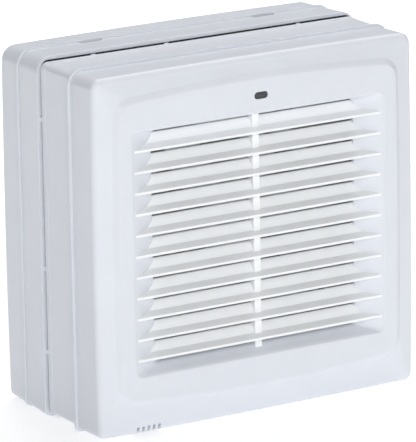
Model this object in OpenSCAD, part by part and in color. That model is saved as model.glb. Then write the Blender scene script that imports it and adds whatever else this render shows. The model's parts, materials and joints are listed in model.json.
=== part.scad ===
// Through-pane axial extractor fan: an indoor unit with a louvred front cover, a narrow
// gap for the pane, and an outer unit with a back-draught shutter behind fixed weather blades.
// X runs to the right seen from the room, the front faces -Y and Z points up.
// The origin is at the middle of the base, half way between the front face and the back.

/* [Front cover] */
// Width over the rim lip of the front cover
cover_w = 240; // [232:1:250]
// Height over the rim lip of the front cover
cover_h = 236; // [230:1:246]
// Depth of the front cover, from its front face to the seam
cover_d = 35.8; // [34:0.1:37]
// Height of the step round the rear rim of the front cover
lip_step = 1.7; // [1:0.1:2.2]
// Thickness of the moulded walls
wall = 2.4; // [2:0.1:2.8]
// Bow of each side of the face, over the length of the side
face_bow = 0.8; // [0.1:0.1:2]

/* [Grille] */
// Width of the sunken grille field
grille_w = 187.4; // [184:0.2:194]
// Height of the sunken grille field
grille_h = 159.6; // [158:0.2:166]
// Depth of the sloping ends of the grille field
grille_d = 8.6; // [8:0.1:9]
// Width of the sloping ends of the grille field
ramp_w = 18; // [16:0.5:20]
// Number of fixed louvres
louvres = 11; // [9:1:11]
// Distance from one louvre to the next
louvre_pitch = 13.6; // [13.4:0.05:14]
// Width of the middle rib
rib_w = 5; // [4:0.5:6]

/* [Indoor frame] */
// Depth of the indoor frame, from the seam to the pane
frame_d = 35.4; // [35:0.2:40]
// How far the frame's sides stand back from the rim lip
frame_inset = 2.4; // [2:0.1:3]
// Gap that the pane goes in, with no pane fitted
pane_gap = 1.7; // [1.4:0.1:2]

/* [Outer unit] */
// Width over the flange that faces the pane
flange_w = 240; // [236:1:244]
// Height over the flange that faces the pane
flange_h = 237; // [234:1:240]
// Depth of the outer housing
housing_d = 26.7; // [25:0.1:28]
// Depth of the rear cover
rear_d = 26.4; // [25:0.1:28]
// Number of fixed weather blades in the rear cover
weather_blades = 10; // [8:1:10]

/* [Fan] */
// Inside radius of the wind tunnel
tunnel_r = 65; // [64:0.5:65.5]
// Gap between the blade tips and the tunnel
tip_gap = 2.5; // [1.5:0.5:4]
// Number of impeller blades
blades = 6; // [4:1:7]
// Angle of the blades to the plane of rotation
blade_angle = 34; // [25:1:36]
// Radius of the motor shaft
shaft_r = 3; // [2.5:0.5:3]
// Radial clearance of each running fit
running = 0.05; // [0.03:0.01:0.08]

/* [Shutter] */
// Number of gravity flaps
flaps = 5; // [5:1:5]
// Distance from one flap hinge to the next
flap_pitch = 25; // [25:0.5:26]
// Thickness of each flap
flap_t = 1.4; // [1.2:0.1:1.6]
// Opening angle of every flap, for viewing
flap_angle = 0; // [0:1:75]

/* [Hidden] */
$fn = 64;

// Depth stations, counted from the front face towards the back
seam = cover_d;
pane_front = seam + frame_d;
pane_back = pane_front + pane_gap;
rear_seam = pane_back + housing_d;
total_d = rear_seam + rear_d;
axis_z = cover_h / 2;
outer_z = flange_h / 2;

// Front cover and grille
plateau_inset = [12.8, 11.5, 17.5];  // sides, top, bottom
plateau_bow = [1, 4.5];  // sides, top and bottom
plateau_step = 2;
edge_r = 4;
face_fall = 5;
// Corner radii, at the top and at the foot
rim_r = [10, 4];
front_r = [7, 5];
plateau_r = [12, 12];
frame_r = [4.5, 3.5];
unit_r = [11, 5];
grille_z = 1.4;
// Opening inside the sloping field: less tall than the field, and set higher
slot_less = 9.6;
slot_rise = 1.8;
first_nose = 68.9;
strip_top = 8.1;
strip_foot = 2.3;
nose_h = 1.7;
nose_d = 1;
strip_d = [10, 6.2];
strip_t = 1.5;
rib_d = [5.4, 12];
lens_x = 1.2;
lens_z = 92.2;
lens_size = [10.2, 4.6];
lens_gap = 0.1;
vents = 5;
vent_pitch = 3.9;
vent_x = -83;
vent_w = 2;
vent_d = [3, 15];
lamp_r = 2.5;
lamp_seat = 11;

// Indoor frame
frame_w = cover_w - 2 * frame_inset;
frame_h = cover_h - 2 * frame_inset;

// Outer unit
tab_x = [-79, -25, 75];
tab_z = [-74, -19, 79];
notch_x = [-65.5, 64.5];
notch_w = 16.6;
notch_d = 3.4;
rear_r = 5;
weather_w = 152;
weather_h = 146;
weather_pitch = weather_h / weather_blades;

// Fan and motor, all along the tunnel's axis
tunnel_t = 2.4;
tunnel_span = [38, 86];
flange_r = 76;
tunnel_screw_r = 72;
hub_r = 22;
hub_span = [40, 55.5];
motor_r = 31.2;
motor_span = [56.5, 83];
cap_t = 2.5;
cup_t = 2;
motor_screw_r = 1.2;
cap_screw_r = 27;
bearing_r = 6;
bearing_l = 6;
boss_r = 8.5;
front_bearing_d = 57.5;
rear_bearing_d = 74.9;
rotor_r = 17;
air_gap = 0.35;
rotor_span = [66, 73];
core_span = [65, 74];
slots = 12;
shaft_span = [37.4, 80.4];
nut_span = [35, 40];

// Shutter
shutter_d = tunnel_span[1] + 0.2;
shutter_t = 2.4;
shutter_w = 150;
window_w = 131;
hinge_d = shutter_d + 4.7;
barrel_r = 2;
pin_r = 1.5;
flap_w = 131.4;
flap_l = flap_pitch - barrel_r - 0.8;
cheek_in = flap_w / 2 + 0.4;
cheek_out = cheek_in + 4;

// Clamping, wiring and fasteners
stud_xy = 60;
stud_r = 2;
stud_span = [56, 82];
post_xy = 70;
cable_x = 84;
cable_d = 52;
cable_r = 3.6;
grommet_r = 6.5;
clamp_z = 18;
screw_r = 1.5;
// Route of the motor lead, in X, depth and height above the fan axis: from the terminal block,
// through the side of the tunnel, and along a spoke to the motor
lead_r = 2;
lead_points = [[88, 62, -74], [78, 60, -52], [64, 64, -43], [46, 64, -34], [34, 69.6, -34],
    [23.7, 69.6, -23.7]];
white = [0.93, 0.94, 0.95];
eps = 0.02;

// ---- outlines, in X and in height above the fan axis ----

function corner(x, z, r, a) = [for (i = [0:6]) [x + r * cos(a + 15 * i), z + r * sin(a + 15 * i)]];
function between(a, b, n) = [for (i = [1:n]) a + (b - a) * i / (n + 1)];
function bowed(p, w, h, bow) = [
    p[0] * (1 - 2 * bow[0] / w * pow(2 * p[1] / h, 2)),
    p[1] * (1 - 2 * bow[1] / h * pow(2 * p[0] / w, 2))];

// Corner radii at the top and the foot, each less by k
function less(r, k) = [max(r[0] - k, 0.6), max(r[1] - k, 0.6)];

// Rounded rectangle that bows outwards between its corners, by bow[0] at the sides and by
// bow[1] at the top and foot. Its corner radius r is one number, or one at the top and one at
// the foot.
function outline(w, h, r, bow = [0, 0]) =
    let (
        top = is_list(r) ? r[0] : r, foot = is_list(r) ? r[1] : r, n = max(bow) > 0 ? 5 : 0,
        a = corner(w / 2 - top, h / 2 - top, top, 0), b = corner(top - w / 2, h / 2 - top, top, 90),
        c = corner(foot - w / 2, foot - h / 2, foot, 180), d = corner(w / 2 - foot, foot - h / 2,
            foot, 270),
        all = concat(a, between(a[6], b[0], n), b, between(b[6], c[0], n),
            c, between(c[6], d[0], n), d, between(d[6], a[0], n)))
    [for (p = all) bowed(p, w, h, bow)];

// A plate of the given outline, between two depths
module plate(points, d0, d1, z = axis_z)
    translate([0, d1 - total_d / 2, z]) rotate([90, 0, 0])
        linear_extrude(d1 - d0) polygon(points);

// A profile in depth and height, run along X
module along_x(points, x0, x1, z = axis_z)
    translate([x0, -total_d / 2, z]) rotate([90, 0, 90])
        linear_extrude(x1 - x0) polygon(points);

// A cylinder along the depth
module rod(r, d0, d1, x = 0, z = 0)
    translate([x, d0 - total_d / 2, axis_z + z]) rotate([-90, 0, 0]) cylinder(r = r, h = d1 - d0);

// Least and greatest place of something of width w about a middle
function span(middle, w) = [middle - w / 2, middle + w / 2];

// A block given by its least and greatest X, depth and height above the fan axis
module block(x, d, z)
    translate([x[0], d[0] - total_d / 2, axis_z + z[0]])
        cube([x[1] - x[0], d[1] - d[0], z[1] - z[0]]);

// A solid of revolution about the fan axis, from radius and depth
module turned(points)
    translate([0, -total_d / 2, axis_z]) rotate([-90, 0, 0]) rotate_extrude() polygon(points);

// A pan-head screw: the head stands in front of its seat and the shank goes back from it
module screw(seat, l, r = screw_r, x = 0, z = 0) {
    rod(2 * r, seat - 1.2 * r, seat, x, z);
    rod(r, seat - eps, seat + l, x, z);
}

// ---- front cover ----

module cover_outer() {
    side_w = cover_w - 2 * lip_step;
    side_h = cover_h - 2 * lip_step;
    plateau_w = cover_w - 2 * plateau_inset[0];
    plate(outline(cover_w, cover_h, rim_r), seam - 2, seam);
    hull() {
        plate(outline(side_w, side_h, less(rim_r, 1)), seam - 3, seam - 1);
        for (a = [0:22.5:90])
            rounded_front(edge_r * (1 - cos(a)), face_fall + edge_r * (1 - sin(a)));
        plate(outline(plateau_w - 6, cover_h - 40, less(plateau_r, 2), [1, 2]), plateau_step,
            plateau_step + 0.4);
    }
    plateau_rise();
}

// One slice of the rounded front edge, by its inset and its depth
module rounded_front(inset, d)
    plate(outline(cover_w - 1 - 2 * inset, cover_h - 1.4 - 2 * inset, less(front_r, inset),
        [face_bow, face_bow]),
        d, d + eps);

// The low raised field round the grille
module plateau_rise() {
    w = cover_w - 2 * plateau_inset[0];
    h = cover_h - plateau_inset[1] - plateau_inset[2];
    shift = (plateau_inset[2] - plateau_inset[1]) / 2;
    slope = 7;
    hull() {
        plate(outline(w, h, plateau_r, plateau_bow), plateau_step, plateau_step + 1, axis_z + shift);
        plate(outline(w - slope, h - slope, less(plateau_r, 3), plateau_bow), 0, 1, axis_z + shift);
    }
}

module cover_hollow() {
    w = cover_w - 2 * lip_step;
    h = cover_h - 2 * lip_step;
    hull() {
        plate(outline(w - 2 * wall, h - 2 * wall, less(rim_r, 3)), seam - 10, seam + 1);
        plate(outline(w - 3 * wall, h - 3 * wall, 5), face_fall + edge_r + 2, seam);
        plate(outline(grille_w + 8, grille_h + 26, 6), face_fall + 0.8, seam);
    }
}

// One louvre in depth and height: a steep strip, a sloping ledge and a blunt nose
function louvre_profile() = [
    [strip_d[0], strip_top], [strip_d[1], strip_foot], [nose_d, 0], [nose_d, -nose_h],
    [nose_d + 1.2, -nose_h], [strip_d[1] + strip_t, strip_foot - nose_h],
    [strip_d[1] + strip_t, strip_foot], [strip_d[0] + strip_t, strip_top]];

module louvre_bank()
    for (i = [0:louvres - 1])
        along_x(louvre_profile(), -grille_w / 2 + 1, grille_w / 2 - 1,
            axis_z + first_nose - i * louvre_pitch);

// The sloping ends, top and foot of the sunken field, as one tray with no floor
module grille_tray()
    difference() {
        plate(outline(grille_w + 6, grille_h + 6, 6), 0.6, grille_d + 2.4, axis_z + grille_z);
        hull() {
            plate(outline(grille_w, grille_h, 5), -1, eps, axis_z + grille_z);
            plate(outline(grille_w - 2 * ramp_w, grille_h - slot_less, 3), grille_d, grille_d + eps,
                axis_z + grille_z + slot_rise);
        }
        plate(outline(grille_w - 2 * ramp_w, grille_h - slot_less, 3), grille_d - 1, grille_d + 3,
            axis_z + grille_z + slot_rise);
    }

module stadium(w, h, d0, d1, x, z) {
    for (s = [-1, 1]) rod(h / 2, d0, d1, x + s * (w - h) / 2, z);
    block(span(x, w - h), [d0, d1], span(z, h));
}

module front_cover() color(white)
    difference() {
        union() {
            difference() {
                cover_outer();
                cover_hollow();
                plate(outline(grille_w, grille_h, 5), -1, seam, axis_z + grille_z);
            }
            grille_tray();
            louvre_bank();
            block(span(0, rib_w), rib_d, span(grille_z, grille_h - 2));
            rod(lamp_r + 2.5, 4, lamp_seat, lens_x, lens_z);
        }
        stadium(lens_size[0], lens_size[1], -1, 6, lens_x, lens_z);
        rod(lamp_r + 0.1, 3, lamp_seat + 1, lens_x, lens_z);
        for (i = [0:vents - 1])
            block(span(vent_x + (i - (vents - 1) / 2) * vent_pitch, vent_w), vent_d,
                [-axis_z, -axis_z + 5.6]);
    }

module indicator_window() color([0.18, 0.19, 0.21])
    stadium(lens_size[0] - 2 * lens_gap, lens_size[1] - 2 * lens_gap, 0.2, 3.6, lens_x, lens_z);

module pilot_lamp() color([0.2, 0.75, 0.35]) {
    rod(lamp_r, 4.2, lamp_seat, lens_x, lens_z);
    rod(lamp_r + 0.7, lamp_seat, lamp_seat + 1.5, lens_x, lens_z);
    for (s = [-1.3, 1.3]) rod(0.4, lamp_seat + 1.4, lamp_seat + 7, lens_x + s, lens_z);
}

// ---- indoor frame ----

module frame_ring(d0, d1, grow, t)
    difference() {
        plate(outline(frame_w + grow, frame_h + grow, frame_r), d0, d1);
        plate(outline(frame_w + grow - 2 * t, frame_h + grow - 2 * t, less(frame_r, t)), d0 - 1,
            d1 + 1);
    }

// Ring inside the front edge of the frame; the cover slips over its free part
module locating_ring()
    difference() {
        plate(outline(frame_w + 0.4 - 2 * wall, frame_h + 0.4 - 2 * wall, 7), seam - 4, seam + 4);
        plate(outline(frame_w - 3.6 - 2 * wall, frame_h - 3.6 - 2 * wall, 5), seam - 5, seam + 5);
    }

module indoor_frame() color(white)
    difference() {
        union() {
            frame_ring(seam, pane_front, 0, wall);
            frame_ring(pane_front - 4.6, pane_front, 0.6, wall);
            locating_ring();
            plate(outline(frame_w - 2, frame_h - 2, less(frame_r, 1)), pane_front - 2.5, pane_front);
            // boss round the cable inlet
            translate([cable_x, cable_d - total_d / 2, frame_inset]) cylinder(r = grommet_r + 3, h = 5);
            // saddle under the cable clamp
            block([cable_x - 12, cable_x + 12], [cable_d + cable_r + 0.4, pane_front - 2],
                [-axis_z + 14, -axis_z + 22]);
            // pillars for the control board
            for (x = [72, 104], z = [82, 100]) rod(3, 62, pane_front - 2, x, z);
        }
        rod(tunnel_r + tunnel_t + 0.3, pane_front - 4, pane_front + 1);
        for (x = [-stud_xy, stud_xy], z = [-stud_xy, stud_xy])
            rod(stud_r + 0.3, pane_front - 4, pane_front + 1, x, z);
        for (a = [0:90:270])
            rod(screw_r, pane_front - 4, pane_front + 1, tunnel_screw_r * cos(a),
                tunnel_screw_r * sin(a));
        translate([cable_x, cable_d - total_d / 2, 0]) cylinder(r = grommet_r, h = 12);
        for (s = [-8.5, 8.5]) rod(screw_r, cable_d, 66, cable_x + s, -axis_z + clamp_z);
        for (x = [72, 104], z = [82, 100]) rod(1.2, 61, 68, x, z);
    }

module gasket(w, h, r, d0, d1) color([0.22, 0.22, 0.23])
    difference() {
        plate(outline(w, h, r), d0, d1);
        rod(94, d0 - 1, d1 + 1);
        gap_tabs(0.3);
    }

module inner_gasket()
    gasket(frame_w - 4, frame_h - 4, [6, 5], pane_front, pane_front + pane_gap / 2 - 0.1);

// The outer gasket just shows along the top of the indoor frame
module outer_gasket()
    gasket(frame_w - 2.6, frame_h + 2, [4.5, 4.5], pane_back - pane_gap / 2 + 0.1, pane_back);

// ---- outer unit ----

// Tabs that bridge the pane gap at the rim, on all four sides, or the notches that clear them
module gap_tabs(clear = 0) {
    reach = [pane_front - clear, pane_back + 1];
    long = 3 + 2 * clear;
    thick = 3 + 2 * clear;
    for (x = tab_x, s = [-1, 1]) block(span(x, long), reach, span(s * (frame_h / 2 - 0.9), thick));
    for (z = tab_z, s = [-1, 1]) block(span(s * (frame_w / 2 - 0.9), thick), reach, span(z, long));
}

module housing_form(inset, d0, d1)
    hull() {
        plate(outline(flange_w - 2 * inset, flange_h - 2 * inset, less(unit_r, inset)), d0, d0 + 1,
            outer_z);
        plate(outline(flange_w - 3.4 - 2 * inset, flange_h - 2.4 - 2 * inset,
            less(unit_r, inset + 1)), d1 - 1, d1, outer_z);
    }

// Locating ring inside the rear edge of the housing; the rear cover slips over its free part
module housing_ring(inset, d0, d1) {
    w = flange_w - 3 - 2 * wall - inset;
    h = flange_h - 2 - 2 * wall - inset;
    difference() {
        plate(outline(w, h, less(unit_r, 1 + wall + inset / 2)), d0, d1, outer_z);
        plate(outline(flange_w - 14, flange_h - 14, 5), d0 - 1, d1 + 1, outer_z);
    }
}

module outer_housing() color(white)
    difference() {
        union() {
            difference() {
                housing_form(0, pane_back, rear_seam);
                housing_form(wall, pane_back + 2.5, rear_seam + 1);
            }
            housing_ring(0, rear_seam - 6, rear_seam);
            housing_ring(2, rear_seam - 6, rear_seam + 4);
            for (x = [-stud_xy, stud_xy], z = [-stud_xy, stud_xy])
                rod(6, pane_back + 2, stud_span[1] + 2, x, z);
            for (x = [-post_xy, post_xy], z = [-post_xy, post_xy])
                rod(4, pane_back + 2, shutter_d, x, z);
            gap_tabs();
        }
        rod(tunnel_r + tunnel_t + 0.3, pane_back - 1, pane_back + 4);
        for (x = [-stud_xy, stud_xy], z = [-stud_xy, stud_xy])
            rod(stud_r, pane_back - 1, stud_span[1], x, z);
        for (x = [-post_xy, post_xy], z = [-post_xy, post_xy]) rod(1.2, 80, shutter_d + 1, x, z);
        // pry notches along the top of the seam
        for (x = notch_x)
            block(span(x, notch_w), [rear_seam - notch_d, rear_seam + 5], [axis_z - 7, axis_z + 2]);
    }

// The outside of the rear cover, or the hollow in it when it is inset by the wall
module rear_form(inset) {
    w = flange_w - 3 - 2 * inset;
    h = flange_h - 2 - 2 * inset;
    hull() {
        plate(outline(w - 0.6, h, less(unit_r, 1 + inset)), rear_seam + 2, rear_seam + 3, outer_z);
        for (a = [0:30:90])
            rounded_back(w, h, inset, rear_r * (1 - cos(a)), total_d - inset - rear_r * (1 - sin(a)));
    }
}

module rounded_back(w, h, inset, fall, d)
    plate(outline(w - 2 * fall, h - 2 * fall, less(unit_r, 1 + inset + 0.8 * fall), [0.8, 0.8]),
        d - eps, d, outer_z);

// A weather blade in depth and height: it sheds rain outwards and down
function weather_profile() = [
    [total_d - 7, 4.6], [total_d, -2], [total_d, -3.6], [total_d - 1.6, -3.6], [total_d - 7, 1.6]];

module rear_cover() color(white)
    union() {
        difference() {
            union() {
                plate(outline(flange_w - 1.4, flange_h, unit_r), rear_seam, rear_seam + 3, outer_z);
                rear_form(0);
            }
            rear_form(wall);
            plate(outline(flange_w - 4 - 2 * wall, flange_h - 3 - 2 * wall, less(unit_r, 1 + wall)),
                rear_seam - 1, rear_seam + 4, outer_z);
            block(span(0, weather_w), [total_d - 8, total_d + 1], span(0, weather_h));
        }
        for (i = [0:weather_blades - 1])
            along_x(weather_profile(), -weather_w / 2 - 1, weather_w / 2 + 1,
                axis_z - weather_h / 2 + (i + 0.5) * weather_pitch);
        for (x = [-weather_w / 4, weather_w / 4])
            block(span(x, 3), [total_d - 6, total_d - 1], span(0, weather_h + 2));
    }

// ---- fan ----

module wind_tunnel() color([0.86, 0.87, 0.88])
    difference() {
        union() {
            turned([[tunnel_r, tunnel_span[1]], [tunnel_r, 46], [tunnel_r + 1, 42.5],
                [tunnel_r + 4, 39.6],
                [tunnel_r + 8.5, tunnel_span[0]], [tunnel_r + 8.5, tunnel_span[0] + 2],
                    [tunnel_r + 5, 41.5],
                [tunnel_r + tunnel_t + 0.6, 44.5], [tunnel_r + tunnel_t, 48],
                    [tunnel_r + tunnel_t, tunnel_span[1]]]);
            turned([[tunnel_r + 1, pane_front - 5], [flange_r, pane_front - 5],
                [flange_r, pane_front - 2.5], [tunnel_r + 1, pane_front - 2.5]]);
            turned([[motor_r + 0.05, 72], [motor_r + 3, 72], [motor_r + 3, 82], [motor_r + 0.05, 82]]);
            for (a = [45:90:315])
                translate([0, 0, axis_z]) rotate([0, a, 0])
                    translate([motor_r + 2, 72 - total_d / 2,
                        -1.5]) cube([tunnel_r + 1 - motor_r - 2, 10, 3]);
        }
        for (a = [0:90:270])
            rod(screw_r + 0.3, pane_front - 6, pane_front - 1, tunnel_screw_r * cos(a),
                tunnel_screw_r * sin(a));
        lead_stretch(lead_points[2], lead_points[3], lead_r + 0.4);
    }

module tunnel_screws() color([0.75, 0.76, 0.78])
    for (a = [0:90:270])
        screw(pane_front - 5, 4.8, screw_r, tunnel_screw_r * cos(a), tunnel_screw_r * sin(a));

module motor_cup() color([0.72, 0.73, 0.74])
    difference() {
        union() {
            turned([[0, motor_span[1] - cup_t], [motor_r - cup_t, motor_span[1] - cup_t],
                [motor_r - cup_t, motor_span[0] + cap_t],
                [motor_r, motor_span[0] + cap_t], [motor_r, motor_span[1] - 1.5],
                    [motor_r - 1.5, motor_span[1]], [0, motor_span[1]]]);
            rod(boss_r, rear_bearing_d - 0.1, motor_span[1] - 1);
            for (a = [45:90:315])
                rod(3, motor_span[0] + cap_t, 61.4, cap_screw_r * cos(a), cap_screw_r * sin(a));
        }
        rod(bearing_r, rear_bearing_d - 1, rear_bearing_d + bearing_l);
        for (a = [45:90:315])
            rod(motor_screw_r, motor_span[0], 62, cap_screw_r * cos(a), cap_screw_r * sin(a));
    }

module motor_end_cap() color([0.72, 0.73, 0.74])
    difference() {
        union() {
            rod(motor_r, motor_span[0], motor_span[0] + cap_t);
            rod(boss_r, motor_span[0] + 1, front_bearing_d + bearing_l);
        }
        rod(bearing_r, front_bearing_d, front_bearing_d + bearing_l + 1);
        rod(shaft_r + 0.6, motor_span[0] - 1, front_bearing_d + 1);
        for (a = [45:90:315])
            rod(motor_screw_r + 0.2, motor_span[0] - 1, motor_span[0] + cap_t + 1,
                cap_screw_r * cos(a), cap_screw_r * sin(a));
    }

module motor_screws() color([0.75, 0.76, 0.78])
    for (a = [45:90:315])
        screw(motor_span[0], 4.6, motor_screw_r, cap_screw_r * cos(a), cap_screw_r * sin(a));

module stator_core() color([0.45, 0.46, 0.48])
    difference() {
        rod(motor_r - cup_t - 0.05, core_span[0], core_span[1]);
        rod(rotor_r + air_gap, core_span[0] - 1, core_span[1] + 1);
        for (i = [0:slots - 1])
            translate([0, 0, axis_z]) rotate([0, i * 360 / slots, 0])
                translate([rotor_r - 1, core_span[0] - 1 - total_d / 2, -1]) cube([4,
                    core_span[1] - core_span[0] + 2, 2]);
        for (i = [0:slots - 1])
            rod(2.4, core_span[0] - 1, core_span[1] + 1, 23 * cos(i * 360 / slots),
                23 * sin(i * 360 / slots));
    }

module stator_windings() color([0.72, 0.43, 0.2])
    for (d = [[core_span[0] - 3.2, core_span[0]], [core_span[1], core_span[1] + 3.2]])
        turned([[18.6, d[0] + 1], [19.6, d[0]], [26, d[0]], [27, d[0] + 1], [27, d[1] - 1],
            [26, d[1]], [19.6, d[1]], [18.6, d[1] - 1]]);

module rotor_core() color([0.5, 0.51, 0.53])
    difference() {
        rod(rotor_r, rotor_span[0], rotor_span[1]);
        rod(shaft_r, rotor_span[0] - 1, rotor_span[1] + 1);
    }

module motor_shaft() color([0.8, 0.81, 0.83])
    rod(shaft_r, shaft_span[0], shaft_span[1]);

module thrust_washers() color([0.85, 0.83, 0.74])
    for (d = [[64, rotor_span[0]], [rotor_span[1], 74.4]])
        difference() {
            rod(5, d[0], d[1]);
            rod(shaft_r, d[0] - 1, d[1] + 1);
        }

module bearing(d0) color([0.7, 0.55, 0.3])
    difference() {
        rod(bearing_r, d0, d0 + bearing_l);
        rod(shaft_r + running, d0 - 1, d0 + bearing_l + 1);
    }

module front_bearing() bearing(front_bearing_d);

module rear_bearing() bearing(rear_bearing_d);

// A blade is a thin cambered section in depth and tangent, run out along the radius
module blade() {
    c = 13;
    rotate([0, 90, 0]) rotate([0, 0, blade_angle])
        linear_extrude(tunnel_r) polygon([[-c, -1.2], [-c / 2, 0.5], [0, 1], [c / 2, 0.5],
            [c, -1.2], [c / 2, -1.1], [0, -0.8], [-c / 2, -1.1]]);
}

module impeller() color([0.86, 0.87, 0.88])
    difference() {
        union() {
            turned([[0, hub_span[0]], [hub_r - 3, hub_span[0]], [hub_r, hub_span[0] + 3],
                [hub_r, hub_span[1]],
                [hub_r - 2, hub_span[1]], [hub_r - 2, hub_span[0] + 2.4], [0, hub_span[0] + 2.4]]);
            rod(6, hub_span[0] + 1, hub_span[1] - 2);
            intersection() {
                translate([0, (hub_span[0] + hub_span[1]) / 2 + 0.3 - total_d / 2, axis_z])
                    for (i = [0:blades - 1]) rotate([0, i * 360 / blades, 0]) blade();
                difference() {
                    rod(tunnel_r - tip_gap, 38, 57);
                    rod(hub_r - 1, 37, 58);
                }
            }
        }
        rod(shaft_r, hub_span[0] - 1, hub_span[1]);
    }

module impeller_nut() color([0.66, 0.68, 0.71])
    difference() {
        turned([[0, nut_span[0]], [4, nut_span[0]], [7, nut_span[0] + 2.5], [7, nut_span[1]],
            [0, nut_span[1]]]);
        rod(shaft_r, shaft_span[0], nut_span[1] + 1);
        for (a = [0:120:240]) rod(1.2, nut_span[0] - 1, nut_span[1] + 1, 7.6 * cos(a), 7.6 * sin(a));
    }

// ---- shutter ----

function hinge_z(k) = (k - (flaps - 1) / 2) * flap_pitch + flap_l / 2;

module shutter_frame() color([0.88, 0.89, 0.9])
    difference() {
        union() {
            plate(outline(shutter_w, shutter_w, 6), shutter_d, shutter_d + shutter_t);
            turned([[tunnel_r + tunnel_t + 0.1, 82], [tunnel_r + tunnel_t + 2.2, 82],
                [tunnel_r + tunnel_t + 2.2, shutter_d + 1],
                [tunnel_r + tunnel_t + 0.1, shutter_d + 1]]);
            for (s = [-1, 1])
                block([s > 0 ? cheek_in : -cheek_out, s > 0 ? cheek_out : -cheek_in],
                    [shutter_d + 1, hinge_d + 4],
                    [-shutter_w / 2 + 8, shutter_w / 2 - 8]);
            for (k = [0:flaps - 1])
                block([-cheek_in - 1, cheek_in + 1], [shutter_d + 1, hinge_d - 0.1],
                    [hinge_z(k) - flap_l - 0.6, hinge_z(k) - flap_l + 0.9]);
        }
        for (k = [0:flaps - 1]) {
            block([-window_w / 2, window_w / 2], [shutter_d - 1, shutter_d + shutter_t + 1],
                [hinge_z(k) - flap_l + 0.9, hinge_z(k) - 0.8]);
            translate([-cheek_out - 1, hinge_d - total_d / 2, axis_z + hinge_z(k)])
                rotate([0, 90, 0]) cylinder(r = pin_r + running, h = 2 * cheek_out + 2);
        }
        for (x = [-post_xy, post_xy], z = [-post_xy, post_xy])
            rod(screw_r, shutter_d - 1, shutter_d + 4, x, z);
    }

module shutter_screws() color([0.75, 0.76, 0.78])
    for (x = [-post_xy, post_xy], z = [-post_xy, post_xy])
        translate([x, shutter_d - 5.6 - total_d / 2, axis_z + z]) rotate([-90, 0, 0]) {
            cylinder(r = 1.2, h = 6 + shutter_t);
            translate([0, 0, 5.6 + shutter_t]) cylinder(r = 2.6, h = 1.6);
        }

module shutter_flap(k) color([0.9, 0.91, 0.92])
    translate([0, hinge_d - total_d / 2, axis_z + hinge_z(k)]) rotate([flap_angle, 0, 0]) {
        translate([-flap_w / 2, 0, 0]) rotate([0, 90, 0]) cylinder(r = barrel_r, h = flap_w);
        translate([-flap_w / 2 - 3.4, 0, 0]) rotate([0, 90, 0]) cylinder(r = pin_r, h = flap_w + 6.8);
        translate([-flap_w / 2, 0.2, -flap_l]) cube([flap_w, flap_t, flap_l]);
        translate([-flap_w / 2, 0.2 + flap_t - eps, -flap_l]) cube([flap_w, 1, 1.2]);
    }

module shutter_flap_1() shutter_flap(0);

module shutter_flap_2() shutter_flap(1);

module shutter_flap_3() shutter_flap(2);

module shutter_flap_4() shutter_flap(3);

module shutter_flap_5() shutter_flap(4);

// ---- clamping ----

module clamp_studs() color([0.75, 0.76, 0.78])
    for (x = [-stud_xy, stud_xy], z = [-stud_xy, stud_xy])
        rod(stud_r, stud_span[0], stud_span[1], x, z);

module clamp_nuts() color([0.86, 0.87, 0.88])
    for (x = [-stud_xy, stud_xy], z = [-stud_xy, stud_xy])
        difference() {
            union() {
                rod(6, pane_front - 6.5, pane_front - 2.5, x, z);
                rod(4, pane_front - 10.5, pane_front - 6, x, z);
                block([x - 6, x + 6], [pane_front - 11, pane_front - 5], [z - 1, z + 1]);
            }
            rod(stud_r, pane_front - 12, pane_front, x, z);
        }

// ---- wiring ----

board = [[66, 110], [60.2, 61.8], [77, 105]];

module control_board() color([0.16, 0.42, 0.24])
    difference() {
        block(board[0], board[1], board[2]);
        for (x = [72, 104], z = [82, 100]) rod(1.3, 59, 63, x, z);
    }

module run_capacitor() color([0.9, 0.85, 0.3])
    block([78, 98], [board[1][0] - 13, board[1][0]], [84, 98]);

module terminal_block() color([0.93, 0.92, 0.86])
    difference() {
        block([69, 99], [pane_front - 15.5, pane_front - 2.5], [-axis_z + 30, -axis_z + 42]);
        for (x = [74, 84, 94]) {
            rod(2, pane_front - 16, pane_front - 9, x, -axis_z + 36);
            translate([x, pane_front - 7 - total_d / 2, 29]) cylinder(r = 1.6, h = 14);
        }
    }

module terminal_screws() color([0.75, 0.76, 0.78])
    for (x = [74, 84, 94]) {
        rod(1.9, pane_front - 14, pane_front - 12, x, -axis_z + 36);
        rod(1.2, pane_front - 12.1, pane_front - 9, x, -axis_z + 36);
    }

// A sleeve through the foot of the frame: its bore takes the supply cable
module cable_grommet() color([0.2, 0.2, 0.21])
    translate([cable_x, cable_d - total_d / 2, frame_inset])
        difference() {
            union() {
                cylinder(r = grommet_r, h = 7.5);
                translate([0, 0, -0.9]) cylinder(r = grommet_r + 1.5, h = 0.9);
                translate([0, 0, 5]) cylinder(r = grommet_r + 1.2, h = 1.5);
            }
            translate([0, 0, -1]) cylinder(r = cable_r, h = 10);
        }

module cable_clamp() color([0.93, 0.92, 0.86])
    difference() {
        block([cable_x - 12, cable_x + 12], [cable_d - cable_r - 3.6, cable_d - cable_r - 0.4],
            [-axis_z + 14, -axis_z + 22]);
        for (s = [-8.5, 8.5]) rod(screw_r + 0.2, cable_d - 12, cable_d, cable_x + s, -axis_z + clamp_z);
    }

module clamp_bar_screws() color([0.75, 0.76, 0.78])
    for (s = [-8.5, 8.5]) screw(cable_d - cable_r - 3.6, 16, screw_r, cable_x + s, -axis_z + clamp_z);

// One straight stretch of the motor lead, from point a to point b
module lead_stretch(a, b, r) {
    v = b - a;
    translate(a - [0, total_d / 2, -axis_z])
        rotate([0, acos(v[2] / norm(v)), atan2(v[1], v[0])]) cylinder(r = r, h = norm(v));
}

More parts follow.
